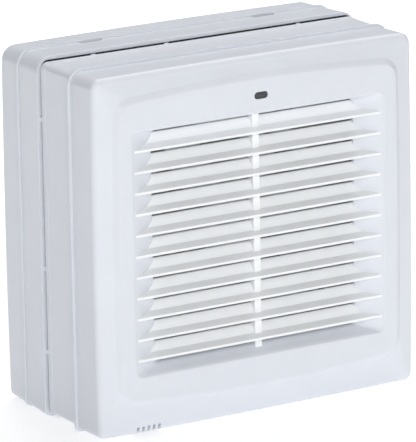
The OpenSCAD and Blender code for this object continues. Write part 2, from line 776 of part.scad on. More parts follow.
// The lead's straight stretches with a soft knuckle at each bend
module motor_lead() color([0.25, 0.26, 0.28])
    union() {
        for (i = [0:len(lead_points) - 2])
            lead_stretch(lead_points[i], lead_points[i + 1], lead_r);
        for (i = [1:len(lead_points) - 2])
            translate(lead_points[i] - [0, total_d / 2, -axis_z]) sphere(r = lead_r + 0.2);
    }

front_cover();
indicator_window();
pilot_lamp();
indoor_frame();
inner_gasket();
outer_gasket();
outer_housing();
rear_cover();
wind_tunnel();
tunnel_screws();
motor_cup();
motor_end_cap();
motor_screws();
stator_core();
stator_windings();
rotor_core();
motor_shaft();
thrust_washers();
front_bearing();
rear_bearing();
impeller();
impeller_nut();
shutter_frame();
shutter_screws();
shutter_flap_1();
shutter_flap_2();
shutter_flap_3();
shutter_flap_4();
shutter_flap_5();
clamp_studs();
clamp_nuts();
control_board();
run_capacitor();
terminal_block();
terminal_screws();
cable_grommet();
cable_clamp();
clamp_bar_screws();
motor_lead();
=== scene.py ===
import json
import math

import bmesh
import bpy
import numpy as np
from mathutils import Matrix, Vector


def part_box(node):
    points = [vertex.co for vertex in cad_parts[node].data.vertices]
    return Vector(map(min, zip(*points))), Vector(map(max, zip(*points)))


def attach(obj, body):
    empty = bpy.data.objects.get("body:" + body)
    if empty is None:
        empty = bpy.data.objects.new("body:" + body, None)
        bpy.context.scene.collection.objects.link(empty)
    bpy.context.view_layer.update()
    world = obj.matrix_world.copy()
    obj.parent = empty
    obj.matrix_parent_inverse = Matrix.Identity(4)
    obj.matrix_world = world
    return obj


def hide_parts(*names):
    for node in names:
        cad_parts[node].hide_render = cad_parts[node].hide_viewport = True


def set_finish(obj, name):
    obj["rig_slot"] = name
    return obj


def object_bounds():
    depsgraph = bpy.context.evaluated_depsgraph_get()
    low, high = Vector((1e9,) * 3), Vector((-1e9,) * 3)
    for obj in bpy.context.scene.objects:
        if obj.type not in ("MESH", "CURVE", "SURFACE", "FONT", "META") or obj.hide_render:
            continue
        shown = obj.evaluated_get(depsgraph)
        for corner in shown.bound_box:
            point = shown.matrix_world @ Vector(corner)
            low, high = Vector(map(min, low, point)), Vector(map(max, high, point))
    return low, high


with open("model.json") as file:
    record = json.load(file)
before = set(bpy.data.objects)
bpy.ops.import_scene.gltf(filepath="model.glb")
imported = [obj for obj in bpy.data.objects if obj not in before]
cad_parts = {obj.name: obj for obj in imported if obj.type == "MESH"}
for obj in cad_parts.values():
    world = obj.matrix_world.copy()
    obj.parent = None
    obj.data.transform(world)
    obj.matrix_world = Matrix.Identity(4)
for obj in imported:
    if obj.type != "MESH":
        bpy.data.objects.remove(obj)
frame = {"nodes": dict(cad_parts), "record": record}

MM = 0.001
cad_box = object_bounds()

# ---- stations and sizes read from the frame ----

joints = {j["name"]: j for j in frame["record"]["behaviour"]["joints"]}
FRONT_Y = cad_box[0].y
AXIS_Z = joints["impeller_spin"]["pos_m"][2]


def depth_of(y):
    """Depth behind the foremost plane, in millimetres, of a frame y in metres."""
    return (y - FRONT_Y) / MM


def size_of(node):
    """Width, depth and height of a CAD node, in millimetres."""
    low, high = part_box(node)
    return [(high[i] - low[i]) / MM for i in range(3)]


def span_of(node):
    """First and last depth of a CAD node."""
    low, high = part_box(node)
    return depth_of(low.y), depth_of(high.y)


def middle_of(node):
    """Middle of a CAD node: x and height above the axis."""
    low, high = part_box(node)
    return (low.x + high.x) / 2 / MM, ((low.z + high.z) / 2 - AXIS_Z) / MM


SEAM = span_of("front_cover")[1]
PANE_FRONT = span_of("indoor_frame")[1]
PANE_BACK = span_of("outer_gasket")[1]
REAR_SEAM = span_of("rear_cover")[0]
DEPTH = depth_of(cad_box[1].y)
COVER_W, _, COVER_H = size_of("front_cover")
FLANGE_W, _, FLANGE_H = size_of("outer_housing")
OUTER_Z = (FLANGE_H - COVER_H) / 2

# ---- mesh helpers ----

ARC_STEPS = 8
SIDE_STEPS = 16


def place(points):
    """Millimetre points (x, d, z) as points in the frame, in metres."""
    p = np.asarray(points, float)
    return np.stack([p[:, 0] * MM, p[:, 1] * MM + FRONT_Y, p[:, 2] * MM + AXIS_Z], 1)


def less(radii, k):
    """Corner radii at the top and the foot, each less by k."""
    return tuple(max(r - k, 0.6) for r in radii)


def ring(w, h, radii, bow=(0, 0), z=0.0):
    """Points (x, z) round a rounded rectangle that bows out between its corners. The corner
    radius is one number, or one at the top and one at the foot."""
    top, foot = radii if isinstance(radii, tuple) else (radii, radii)
    arcs = []
    for sx, sz, r, start in ((1, 1, top, 0), (-1, 1, top, 90), (-1, -1, foot, 180), (1, -1, foot, 270)):
        cx, cz = sx * (w / 2 - r), sz * (h / 2 - r)
        turn = np.radians(start + np.linspace(0, 90, ARC_STEPS + 1))
        arcs.append(np.stack([cx + r * np.cos(turn), cz + r * np.sin(turn)], 1))
    rows = []
    for i, arc in enumerate(arcs):
        t = np.linspace(0, 1, SIDE_STEPS + 1)[1:-1, None]
        rows += [arc, arc[-1] * (1 - t) + arcs[(i + 1) % 4][0] * t]
    p = np.concatenate(rows)
    fx = 1 - 2 * bow[0] / w * (2 * p[:, 1] / h) ** 2
    fz = 1 - 2 * bow[1] / h * (2 * p[:, 0] / w) ** 2
    return np.stack([p[:, 0] * fx, p[:, 1] * fz + z], 1)


def circle_ring(r):
    """Points (x, z) round a circle, matched one to one with those of a rounded rectangle."""
    p = ring(2, 2, 0.6)
    return r * p / np.linalg.norm(p, axis=1)[:, None]


def at_depth(points, d):
    """A ring of (x, z) points at one depth, or at a depth for each point."""
    d = np.broadcast_to(np.asarray(d, float), len(points))
    return np.stack([points[:, 0], d, points[:, 1]], 1)


def rings_in(w, h, table, bow=(0, 0), z=0.0):
    """Rings inside a w by h rectangle, from rows of how much smaller, corner radii and depth."""
    return [at_depth(ring(w - cut, h - cut, radii, bow, z), d) for cut, radii, d in table]


def full_turn(steps):
    """Angles all the way round."""
    return np.linspace(0, 2 * math.pi, steps, endpoint=False)


def shade(mesh, sharp):
    """Smooth shading, except over edges sharper than the angle."""
    mesh.shade_smooth()
    mesh.set_sharp_from_angle(angle=math.radians(sharp))


def mesh_object(name, verts, faces, sharp=35):
    """A mesh piece from millimetre points, smooth except over edges sharper than the angle."""
    mesh = bpy.data.meshes.new(name)
    mesh.from_pydata(place(verts).tolist(), [], faces)
    b = bmesh.new()
    b.from_mesh(mesh)
    bmesh.ops.recalc_face_normals(b, faces=b.faces)
    b.to_mesh(mesh)
    b.free()
    shade(mesh, sharp)
    piece = bpy.data.objects.new(name, mesh)
    bpy.context.scene.collection.objects.link(piece)
    return piece


def loft(name, rows, closed=True, sharp=35):
    """A skin over rings of equal count. Closed joins the last ring to the first; otherwise both
    ends are capped."""
    n, m = len(rows[0]), len(rows)
    verts = np.concatenate(rows)
    faces = []
    for i in range(m if closed else m - 1):
        j = (i + 1) % m
        for k in range(n):
            q = (k + 1) % n
            faces.append((i * n + k, i * n + q, j * n + q, j * n + k))
    if not closed:
        faces += [tuple(range(n))[::-1], tuple((m - 1) * n + k for k in range(n))]
    return mesh_object(name, verts, faces, sharp)


def fillet(points, radii, steps=4):
    """A polygon with its corners rounded; radii is one number or one for each corner."""
    p = [np.array(q, float) for q in points]
    radii = np.broadcast_to(radii, len(p))
    out = []
    for i, c in enumerate(p):
        a, b = p[i - 1], p[(i + 1) % len(p)]
        to_a, to_b = np.linalg.norm(a - c), np.linalg.norm(b - c)
        ua, ub = (a - c) / to_a, (b - c) / to_b
        half = math.acos(max(-1, min(1, ua @ ub))) / 2
        cut = min(radii[i] / math.tan(half), 0.45 * to_a, 0.45 * to_b)
        if cut < 1e-6:
            out.append(c)
            continue
        s, e = c + ua * cut, c + ub * cut
        for t in np.linspace(0, 1, steps + 1):
            out.append((1 - t) ** 2 * s + 2 * t * (1 - t) * c + t * t * e)
    return out


def join(name, pieces):
    """Several mesh pieces as one."""
    b = bmesh.new()
    for piece in pieces:
        b.from_mesh(piece.data)
    mesh = bpy.data.meshes.new(name)
    b.to_mesh(mesh)
    b.free()
    for piece in pieces:
        bpy.data.objects.remove(piece)
    joined = bpy.data.objects.new(name, mesh)
    bpy.context.scene.collection.objects.link(joined)
    return joined


def apply_modifiers(piece, sharp=35):
    """The piece's own mesh with its modifiers worked in."""
    shown = bpy.context.evaluated_depsgraph_get()
    mesh = bpy.data.meshes.new_from_object(piece.evaluated_get(shown))
    piece.modifiers.clear()
    piece.data = mesh
    shade(mesh, sharp)
    return piece


def cut(piece, cutters, sharp=35):
    """Takes closed cutters out of a closed piece."""
    for cutter in cutters:
        step = piece.modifiers.new("cut", "BOOLEAN")
        step.operation = "DIFFERENCE"
        step.solver = "EXACT"
        step.object = cutter
    bpy.context.view_layer.update()
    apply_modifiers(piece, sharp)
    for cutter in cutters:
        bpy.data.objects.remove(cutter)
    return piece


def soften(piece, width, angle=40, segments=2, sharp=35):
    """A small bevel on every sharp edge."""
    step = piece.modifiers.new("soften", "BEVEL")
    step.width = width * MM
    step.segments = segments
    step.limit_method = "ANGLE"
    step.angle_limit = math.radians(angle)
    step.use_clamp_overlap = True
    bpy.context.view_layer.update()
    return apply_modifiers(piece, sharp)


def prism(name, outline, low, high, along="d", bevel=0.0):
    """A closed outline run along one axis: along d it is (x, z), along x it is (d, z) and along z
    it is (x, d)."""
    n = len(outline)
    axes = {"d": (0, 2, 1), "x": (1, 2, 0), "z": (0, 1, 2)}[along]
    verts = np.zeros((2 * n, 3))
    for k, end in enumerate((low, high)):
        part = verts[k * n:(k + 1) * n]
        part[:, axes[0]] = [p[0] for p in outline]
        part[:, axes[1]] = [p[1] for p in outline]
        part[:, axes[2]] = end
    faces = [tuple(range(n)), tuple(range(n, 2 * n))[::-1]]
    faces += [(k, (k + 1) % n, n + (k + 1) % n, n + k) for k in range(n)]
    piece = mesh_object(name, verts, faces)
    return soften(piece, bevel) if bevel else piece


def box_piece(name, x, d, z, r=0.6, bevel=0.25):
    """A moulded block: rounded edges along the depth and softened faces."""
    outline = fillet([(x[0], z[0]), (x[1], z[0]), (x[1], z[1]), (x[0], z[1])], r)
    return prism(name, outline, d[0], d[1], "d", bevel)


def turned(name, profile, x=0.0, z=0.0, steps=96, sharp=30):
    """A solid of revolution round an axis along the depth, from (radius, depth) points."""
    rows = [[(x + r * math.cos(a), d, z + r * math.sin(a)) for r, d in profile] for a in full_turn(steps)]
    return weld(loft(name, rows, sharp=sharp))


def turned_up(name, profile, x, d, steps=64):
    """A solid of revolution round an upright axis, from (radius, height) points."""
    rows = [[(x + r * math.cos(a), d + r * math.sin(a), z) for r, z in profile] for a in full_turn(steps)]
    return weld(loft(name, rows, sharp=30))


def turned_across(name, profile, d, z, steps=32):
    """A solid of revolution round an axis along x, from (radius, x) points."""
    rows = [[(x, d + r * math.cos(a), z + r * math.sin(a)) for r, x in profile] for a in full_turn(steps)]
    return weld(loft(name, rows, sharp=30))


def weld(piece, distance=1e-6):
    """Merges points that lie together, such as those on an axis of revolution."""
    b = bmesh.new()
    b.from_mesh(piece.data)
    bmesh.ops.remove_doubles(b, verts=b.verts, dist=distance)
    bmesh.ops.dissolve_degenerate(b, edges=b.edges, dist=distance / 10)
    b.to_mesh(piece.data)
    b.free()
    return piece


def tube(name, points, r, steps=16, rings=60):
    """A round tube along a smooth curve through the points."""
    line = smooth_line(points, rings)
    tangent = np.gradient(line, axis=0)
    tangent /= np.linalg.norm(tangent, axis=1)[:, None]
    side = np.cross(tangent[0], (0.3, 0.2, 1.0))
    rows = []
    for p, t in zip(line, tangent):
        side = side - t * (side @ t)
        side /= np.linalg.norm(side)
        other = np.cross(t, side)
        turn = full_turn(steps)[:, None]
        rows.append(p + r * (np.cos(turn) * side + np.sin(turn) * other))
    return loft(name, rows, closed=False)


def smooth_line(points, count):
    """A Catmull-Rom curve through the points."""
    p = np.array(points, float)
    p = np.vstack([2 * p[0] - p[1], p, 2 * p[-1] - p[-2]])
    out = []
    for s in np.linspace(0, len(p) - 3 - 1e-9, count):
        i = int(s)
        t = s - i
        a, b, c, d = p[i:i + 4]
        out.append(0.5 * (2 * b + (c - a) * t + (2 * a - 5 * b + 4 * c - d) * t * t
                          + (3 * b - 3 * c + d - a) * t ** 3))
    return np.array(out)


# ---- materials ----

class Nodes:
    """A short way to add and link shader nodes."""

    def __init__(self, name):
        self.material = bpy.data.materials.new(name)
        self.material.use_nodes = True
        self.tree = self.material.node_tree
        self.tree.nodes.clear()
        self.shader = self.add("ShaderNodeBsdfPrincipled")
        self.output = self.add("ShaderNodeOutputMaterial")
        self.link(self.shader.outputs["BSDF"], self.output.inputs["Surface"])
        self.place = self.add("ShaderNodeTexCoord").outputs["Object"]

    def add(self, kind, **values):
        node = self.tree.nodes.new(kind)
        for key, value in values.items():
            setattr(node, key, value)
        return node

    def link(self, a, b):
        self.tree.links.new(a, b)

    def noise(self, size, detail=3.0, stretch=None):
        """Noise whose features are about size millimetres across."""
        node = self.add("ShaderNodeTexNoise")
        node.inputs["Scale"].default_value = 1 / (size * MM)
        node.inputs["Detail"].default_value = detail
        place_in = self.place
        if stretch:
            mapping = self.add("ShaderNodeMapping")
            mapping.inputs["Scale"].default_value = stretch
            self.link(place_in, mapping.inputs["Vector"])
            place_in = mapping.outputs["Vector"]
        self.link(place_in, node.inputs["Vector"])
        return node.outputs["Fac"]

    def spread(self, value, low, high):
        """A value of 0.3 to 0.7 spread over low to high."""
        node = self.add("ShaderNodeMapRange")
        node.inputs["From Min"].default_value = 0.3
        node.inputs["From Max"].default_value = 0.7
        node.inputs["To Min"].default_value = low
        node.inputs["To Max"].default_value = high
        self.link(value, node.inputs["Value"])
        return node.outputs["Result"]

    def tint(self, value, colour, change):
        """The colour, made darker or lighter by up to the change."""
        node = self.add("ShaderNodeMix", data_type="RGBA")
        node.inputs["A"].default_value = [c * (1 - change) for c in colour] + [1]
        node.inputs["B"].default_value = [min(1, c * (1 + change)) for c in colour] + [1]
        self.link(self.spread(value, 0, 1), node.inputs["Factor"])
        return node.outputs["Result"]

    def bump(self, *layers):
        """Bumps laid over each other, each a value and a height in millimetres."""
        normal = None
        for value, height in layers:
            node = self.add("ShaderNodeBump")
            node.inputs["Distance"].default_value = height * MM
            self.link(value, node.inputs["Height"])
            if normal:
                self.link(normal, node.inputs["Normal"])
            normal = node.outputs["Normal"]
        self.link(normal, self.shader.inputs["Normal"])


def surface(name, colour, rough, metal=0.0, grain=(0.5, 0.004), wave=(22, 0.004), change=0.012,
            stretch=None, coat=0.0, ior=1.5):
    """A moulded, pressed or turned surface: colour that drifts a little, uneven gloss, a fine
    grain and a slow waviness."""
    n = Nodes(name)
    n.shader.inputs["Metallic"].default_value = metal
    n.shader.inputs["IOR"].default_value = ior
    n.shader.inputs["Coat Weight"].default_value = coat
    slow = n.noise(wave[0], 2.0)
    fine = n.noise(grain[0], 4.0, stretch)
    n.link(n.tint(slow, colour, change), n.shader.inputs["Base Color"])
    n.link(n.spread(n.noise(6.0, 5.0), rough * 0.88, rough * 1.12), n.shader.inputs["Roughness"])
    n.bump((fine, grain[1]), (slow, wave[1]))
    return n.material


def make_materials():
    """One material for each of the record's slots."""
    along_depth = (1, 14, 1)
    return {
        "white_shell": surface("white_shell", (0.75, 0.775, 0.83), 0.42, coat=0.05),
        "smoked_window": surface("smoked_window", (0.055, 0.058, 0.066), 0.16, wave=(4, 0.002)),
        "lamp_green": surface("lamp_green", (0.06, 0.42, 0.13), 0.2, wave=(2, 0.004)),
        "foam_gasket": surface("foam_gasket", (0.035, 0.036, 0.04), 0.95, grain=(0.5, 0.15)),
        "inner_plastic": surface("inner_plastic", (0.66, 0.68, 0.7), 0.5),
        "zinc_screw": surface("zinc_screw", (0.72, 0.73, 0.75), 0.33, 1.0, grain=(0.2, 0.01)),
        "motor_steel": surface("motor_steel", (0.62, 0.63, 0.65), 0.36, 1.0, (0.3, 0.01),
                               change=0.05, stretch=along_depth),
        "core_steel": surface("core_steel", (0.26, 0.27, 0.29), 0.5, 1.0, (0.5, 0.12),
                              change=0.2, stretch=(0.1, 2, 0.1)),
        "copper_winding": surface("copper_winding", (0.66, 0.29, 0.11), 0.3, 1.0, (0.6, 0.2),
                                  change=0.15, stretch=(1, 0.3, 1)),
        "ground_steel": surface("ground_steel", (0.78, 0.79, 0.8), 0.17, 1.0, (0.15, 0.003)),
        "washer_plastic": surface("washer_plastic", (0.76, 0.71, 0.56), 0.5),
        "sinter_bronze": surface("sinter_bronze", (0.5, 0.34, 0.16), 0.5, 1.0, (0.3, 0.03)),
        "nut_plastic": surface("nut_plastic", (0.6, 0.62, 0.66), 0.35),
        "flap_plastic": surface("flap_plastic", (0.74, 0.76, 0.78), 0.46),
        "board_green": surface("board_green", (0.025, 0.17, 0.06), 0.35, grain=(0.8, 0.02)),
        "capacitor_yellow": surface("capacitor_yellow", (0.78, 0.56, 0.06), 0.34),
        "cream_plastic": surface("cream_plastic", (0.78, 0.74, 0.6), 0.45),
        "black_rubber": surface("black_rubber", (0.02, 0.02, 0.022), 0.7, grain=(0.4, 0.03)),
        "grey_sleeve": surface("grey_sleeve", (0.07, 0.075, 0.08), 0.55, grain=(0.4, 0.02)),
    }


materials = make_materials()
# A lighter copy of the white shell for the louvres and rib: painted light that brightens the strips lying
# in shade under each louvre above.
louvre_painted_light = surface("louvre_painted_light", (0.93, 0.945, 0.955), 0.4, coat=0.05)


def keep(node, slot):
    """A CAD node that keeps its own shape: it only gets its finish."""
    mesh = frame["nodes"][node].data
    mesh.materials.clear()
    mesh.materials.append(materials[slot])
    frame["nodes"][node]["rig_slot"] = slot


def settle_normals(piece):
    """Lets the large faces set the shading, so that flat stays flat beside a small rounding."""
    step = piece.modifiers.new("weighted", "WEIGHTED_NORMAL")
    step.keep_sharp = True
    step.weight = 80
    bpy.context.view_layer.update()
    shown = bpy.context.evaluated_depsgraph_get()
    mesh = bpy.data.meshes.new_from_object(piece.evaluated_get(shown))
    piece.modifiers.clear()
    piece.data = mesh


def finish_piece(piece, slot, body, *nodes):
    """Gives a piece its finish and its body, and shows it in place of the CAD nodes."""
    settle_normals(piece)
    piece.data.materials.clear()
    piece.data.materials.append(materials[slot])
    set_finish(piece, slot)
    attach(piece, body)
    if nodes:
        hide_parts(*nodes)
    return piece


# ---- front cover and grille ----

RIM_R, FRONT_R, FRAME_R, UNIT_R = (10, 4), (7, 5), (4.5, 3.5), (11, 5)
SIDE_W, SIDE_H = COVER_W - 3.4, COVER_H - 3.4
FRONT_W, FRONT_H = COVER_W - 1, COVER_H - 1.4
EDGE_R, FACE_FALL = 4.0, 5.0
FIELD_W, FIELD_H, FIELD_Z = 187.4, 159.6, 1.4
SLOT_W, SLOT_H, SLOT_Z, SLOT_D = 151.4, 150.0, 3.2, 8.6
LENS_X, LENS_Z = middle_of("indicator_window")
LENS_W, _, LENS_H = [s + 0.2 for s in size_of("indicator_window")]
LOUVRES, PITCH, FIRST_NOSE = 11, 13.6, 68.9
VENTS, VENT_X, VENT_PITCH, VENT_W, VENT_H, VENT_D = 5, -83, 3.9, 2, 5.6, (3, 15)
FACE_BOW, PLATEAU_BOW, PLATEAU_Z = (0.8, 0.8), (1, 4.5), 3.0


def corner_rows(w, h, radii, d, radius, bow=(0, 0), z=0.0, steps=5, turn="front"):
    """Rows that round an outer edge: from the side into the front, or from the side into the
    back."""
    rows = []
    for a in np.radians(np.linspace(0, 90, steps + 1)):
        inset = radius * (1 - math.cos(a))
        shift = radius * math.sin(a)
        depth = d - shift if turn == "front" else d + shift
        rows.append(at_depth(ring(w - 2 * inset, h - 2 * inset, less(radii, inset), bow, z), depth))
    return rows


def cover_rows():
    """Rings of the front cover, from the back of its lip over the face and down into the grille,
    then back inside the wall."""
    lip = ((0.5, 0), (0.1, 0.15), (0, 0.4), (0, 1.75), (0.1, 1.92), (0.25, 2), (1.4, 2), (1.6, 2.05),
           (1.7, 2.2))
    rows = rings_in(COVER_W, COVER_H, [(2 * inset, less(RIM_R, inset), SEAM - back) for inset, back in lip])
    edge_d = FACE_FALL + EDGE_R
    for t in np.linspace(0, 1, 6)[:-1]:
        w, h = SIDE_W + (FRONT_W - SIDE_W) * t, SIDE_H + (FRONT_H - SIDE_H) * t
        rows.append(at_depth(ring(w, h, (8.3 - 1.3 * t, 2.5 + 2.5 * t), (0.8 * t, 0.8 * t)),
                             SEAM - 2.4 + (edge_d - SEAM + 2.4) * t))
    rows += corner_rows(FRONT_W, FRONT_H, FRONT_R, edge_d, EDGE_R, FACE_BOW, steps=7)
    rows += plateau_rows()
    rows += field_rows()
    return rows


def plateau_rows():
    """The face inside the rounded edge and the low raised field on it."""
    face = 2 * EDGE_R + 3
    rows = rings_in(FRONT_W, FRONT_H, [(face, 4, 4.7)], FACE_BOW)
    table = ((-1.6, 12.8, 2.95), (-0.4, 12.2, 2.75), (0.8, 11.6, 2.35), (5.4, 9.5, 0.35), (6.6, 9.2, 0.08),
             (8.2, 9, 0))
    return rows + rings_in(COVER_W - 25.6, COVER_H - 29, table, PLATEAU_BOW, PLATEAU_Z)


def field_rows():
    """The sunken field with its sloping ends, the slot in its floor, and the inside of the
    wall."""
    rows = rings_in(FIELD_W, FIELD_H, ((-1.6, 5.8, 0), (-0.7, 5.4, 0.06), (0, 5, 0.3)), z=FIELD_Z)
    rows.append(at_depth(ring(FIELD_W - 0.8, FIELD_H - 0.6, 4.9, z=FIELD_Z + 0.06), 0.62))
    for t in np.linspace(0.15, 1, 6):
        w, h = FIELD_W + (SLOT_W - FIELD_W) * t, FIELD_H + (SLOT_H - FIELD_H) * t
        rows.append(at_depth(ring(w, h, 5 - 2 * t, z=FIELD_Z + (SLOT_Z - FIELD_Z) * t), SLOT_D * t))
    rows += rings_in(SLOT_W, SLOT_H, ((0.2, 3, SLOT_D + 0.4), (0.2, 3, SLOT_D + 2.4)), z=SLOT_Z)
    behind = ((-4, 6, SLOT_D + 2.4), (-6, 6, SLOT_D + 1.4), (-6, 6, 6.2))
    rows += rings_in(FIELD_W, FIELD_H, behind, z=FIELD_Z)
    rows.append(at_depth(ring(FIELD_W + 8, FIELD_H + 26, 6), 5.8))
    return rows + rings_in(SIDE_W, SIDE_H, ((7.2, 5, 11), (4.8, 6, SEAM - 10), (4.8, 6, SEAM)))


def stadium_outline(w, h, x, z, steps=14):
    """A rounded slot standing on its long sides, as (x, z) points."""
    out = []
    for side, start in ((1, -90), (-1, 90)):
        for a in np.radians(start + np.linspace(0, 180, steps)):
            out.append((x + side * (w - h) / 2 + h / 2 * math.cos(a), z + h / 2 * math.sin(a)))
    return out


def make_cover():
    """The front cover with its window slot and vents, and the seat that holds the lamp."""
    shell = loft("cover_shell", cover_rows())
    cutters = [prism("slot", stadium_outline(LENS_W, LENS_H, LENS_X, LENS_Z), -1, 8)]
    foot = -COVER_H / 2
    for i in range(VENTS):
        x = VENT_X + (i - VENTS // 2) * VENT_PITCH
        wide = (x - VENT_W / 2, x + VENT_W / 2)
        cutters.append(box_piece(f"vent{i}", wide, VENT_D, (foot - 2, foot + VENT_H), 0.4, 0.3))
    cut(shell, cutters)
    finish_piece(shell, "white_shell", "cover", "front_cover")
    profile = [(2.55, 4.6), (3.4, 4.4), (5, 5.2), (5, 11), (2.55, 11)]
    finish_piece(turned("lamp_seat", profile, LENS_X, LENS_Z, 48), "white_shell", "cover")


def louvre_outline():
    """A louvre in depth and height: a steep strip, a sloping ledge and a blunt nose."""
    points = [(10, 8.1), (6.2, 2.3), (1, 0), (1, -1.7), (2.2, -1.7), (7.7, 0.6), (7.7, 2.3),
              (11.5, 8.1)]
    return fillet(points, [0.3, 0.6, 0.35, 0.35, 0.3, 0.5, 0.6, 0.3], 4)


def make_grille():
    """The bank of louvres across the sunken field, and the upright rib behind them, both in a lighter copy
    of the white shell: painted light on strips that lie in shade.
    """
    run = FIELD_W / 2 - 1
    rows = []
    for i in range(LOUVRES):
        low = FIRST_NOSE - i * PITCH
        rows.append(prism(f"louvre{i}", [(d, z + low) for d, z in louvre_outline()], -run, run, "x"))
    louvres = join("grille_louvres", rows)
    shade(louvres.data, 30)
    tall = (FIELD_Z - FIELD_H / 2 + 1, FIELD_Z + FIELD_H / 2 - 1)
    rib = box_piece("grille_rib", (-2.5, 2.5), (5.4, 12), tall, 0.3, 0.4)
    for piece in (louvres, rib):
        finish_piece(piece, "white_shell", "cover")
        # The louvres and rib keep the white shell's slot but show its lighter copy, which is painted light
        # on the shaded strips.
        piece.data.materials[0] = louvre_painted_light


def make_window():
    """The smoked window: a domed lens with a fine raised rim."""
    rows = []
    for inset, d in ((0, 3.6), (0, 1.0), (0.12, 0.72), (0.3, 0.6), (0.5, 0.62), (0.65, 0.8), (0.9, 0.84),
                     (1.3, 0.74), (1.8, 0.68)):
        outline = stadium_outline(LENS_W - 0.2 - 2 * inset, LENS_H - 0.2 - 2 * inset, LENS_X, LENS_Z)
        rows.append(at_depth(np.array(outline), d))
    window = loft("window_lens", rows, closed=False)
    finish_piece(window, "smoked_window", "cover", "indicator_window")


# ---- indoor frame ----

FRAME_W, FRAME_H = COVER_W - 4.8, COVER_H - 4.8
TUNNEL_OUT = 67.7
STUD_XY, POST_XY = 60.0, 70.0
STUD_HOLE_R, INLET_R = 2.3, 6.5


def frame_rows():
    """The indoor frame: a square tray with a step at its rear rim and a round hole in its back."""
    outside = ((-4.8, SEAM), (-0.6, SEAM), (-0.1, SEAM + 0.15), (0, SEAM + 0.4), (0, SEAM + 15),
               (0, PANE_FRONT - 4.8), (0.1, PANE_FRONT - 4.66), (0.5, PANE_FRONT - 4.6),
               (0.6, PANE_FRONT - 4.5), (0.6, PANE_FRONT - 0.3), (0.5, PANE_FRONT - 0.08), (0, PANE_FRONT))
    hole = ((0.3, 0), (0, 0.3), (0, 2.2), (0.3, 2.5))
    inside = ((-7, PANE_FRONT - 2.5), (-4.8, PANE_FRONT - 4), (-4.8, SEAM + 4))
    round_rings = [at_depth(circle_ring(TUNNEL_OUT + r), PANE_FRONT - back) for r, back in hole]
    return grown_rings(outside) + round_rings + grown_rings(inside)


def grown_rings(table):
    """Rings of the indoor frame, from rows of how much larger and depth."""
    return rings_in(FRAME_W, FRAME_H, [(-grow, less(FRAME_R, -grow / 2), d) for grow, d in table])


def make_frame():
    """The indoor frame, its inner lip, the cable inlet and the board's pillars."""
    shell = loft("frame_shell", frame_rows())
    table = ((4.4, 7.4, SEAM + 4), (4.4, 7.4, SEAM - 3.2), (5.6, 7, SEAM - 4), (7.8, 6, SEAM - 4),
             (8.4, 6, SEAM - 3.4), (8.4, 6, SEAM + 4))
    lip = loft("frame_lip", rings_in(FRAME_W, FRAME_H, table))
    cable_x = middle_of("cable_grommet")[0]
    cable_d = sum(span_of("cable_grommet")) / 2
    floor_z = -COVER_H / 2 + 2.4
    profile = [(0, floor_z - 2), (INLET_R, floor_z - 2), (INLET_R, floor_z + 8), (0, floor_z + 8)]
    bore = turned_up("cable_bore", profile, cable_x, cable_d)
    holes = [prism(f"hole{i}", circle_outline(STUD_HOLE_R, x, z), PANE_FRONT - 4, PANE_FRONT + 1)
             for i, (x, z) in enumerate(square_points(STUD_XY))]
    cut(shell, [bore] + holes)
    finish_piece(shell, "white_shell", "housing", "indoor_frame")
    finish_piece(lip, "white_shell", "housing")
    profile = [(INLET_R, floor_z + 1), (9.5, floor_z + 1), (9.5, floor_z + 4.4), (9, floor_z + 5),
               (7, floor_z + 5), (INLET_R, floor_z + 4.5)]
    boss = turned_up("cable_boss", profile, cable_x, cable_d)
    saddle = box_piece("cable_saddle", (cable_x - 12, cable_x + 12), (cable_d + 4, PANE_FRONT - 2),
                       (-COVER_H / 2 + 14, -COVER_H / 2 + 22), 1, 0.5)
    profile = [(1.2, PANE_FRONT - 2), (3, PANE_FRONT - 2), (3, 62.5), (2.6, 62), (1.2, 62)]
    pillars = [turned(f"board_pillar_{i}", profile, x, z, 32)
               for i, (x, z) in enumerate(((72, 82), (72, 100), (104, 82), (104, 100)))]
    for piece in [boss, saddle] + pillars:
        finish_piece(piece, "white_shell", "housing")


def circle_outline(r, x, z, steps=40):
    """Points (x, z) round a circle."""
    return [(x + r * math.cos(a), z + r * math.sin(a)) for a in full_turn(steps)]


def square_points(half):
    """The corners of a square about the axis, as (x, z)."""
    return [(x, z) for x in (-half, half) for z in (-half, half)]


# ---- outer unit ----

TAB_X, TAB_Z = (-79, -25, 75), (-74, -19, 79)
NOTCH_X, NOTCH_W = (-65.5, 64.5), 16.6


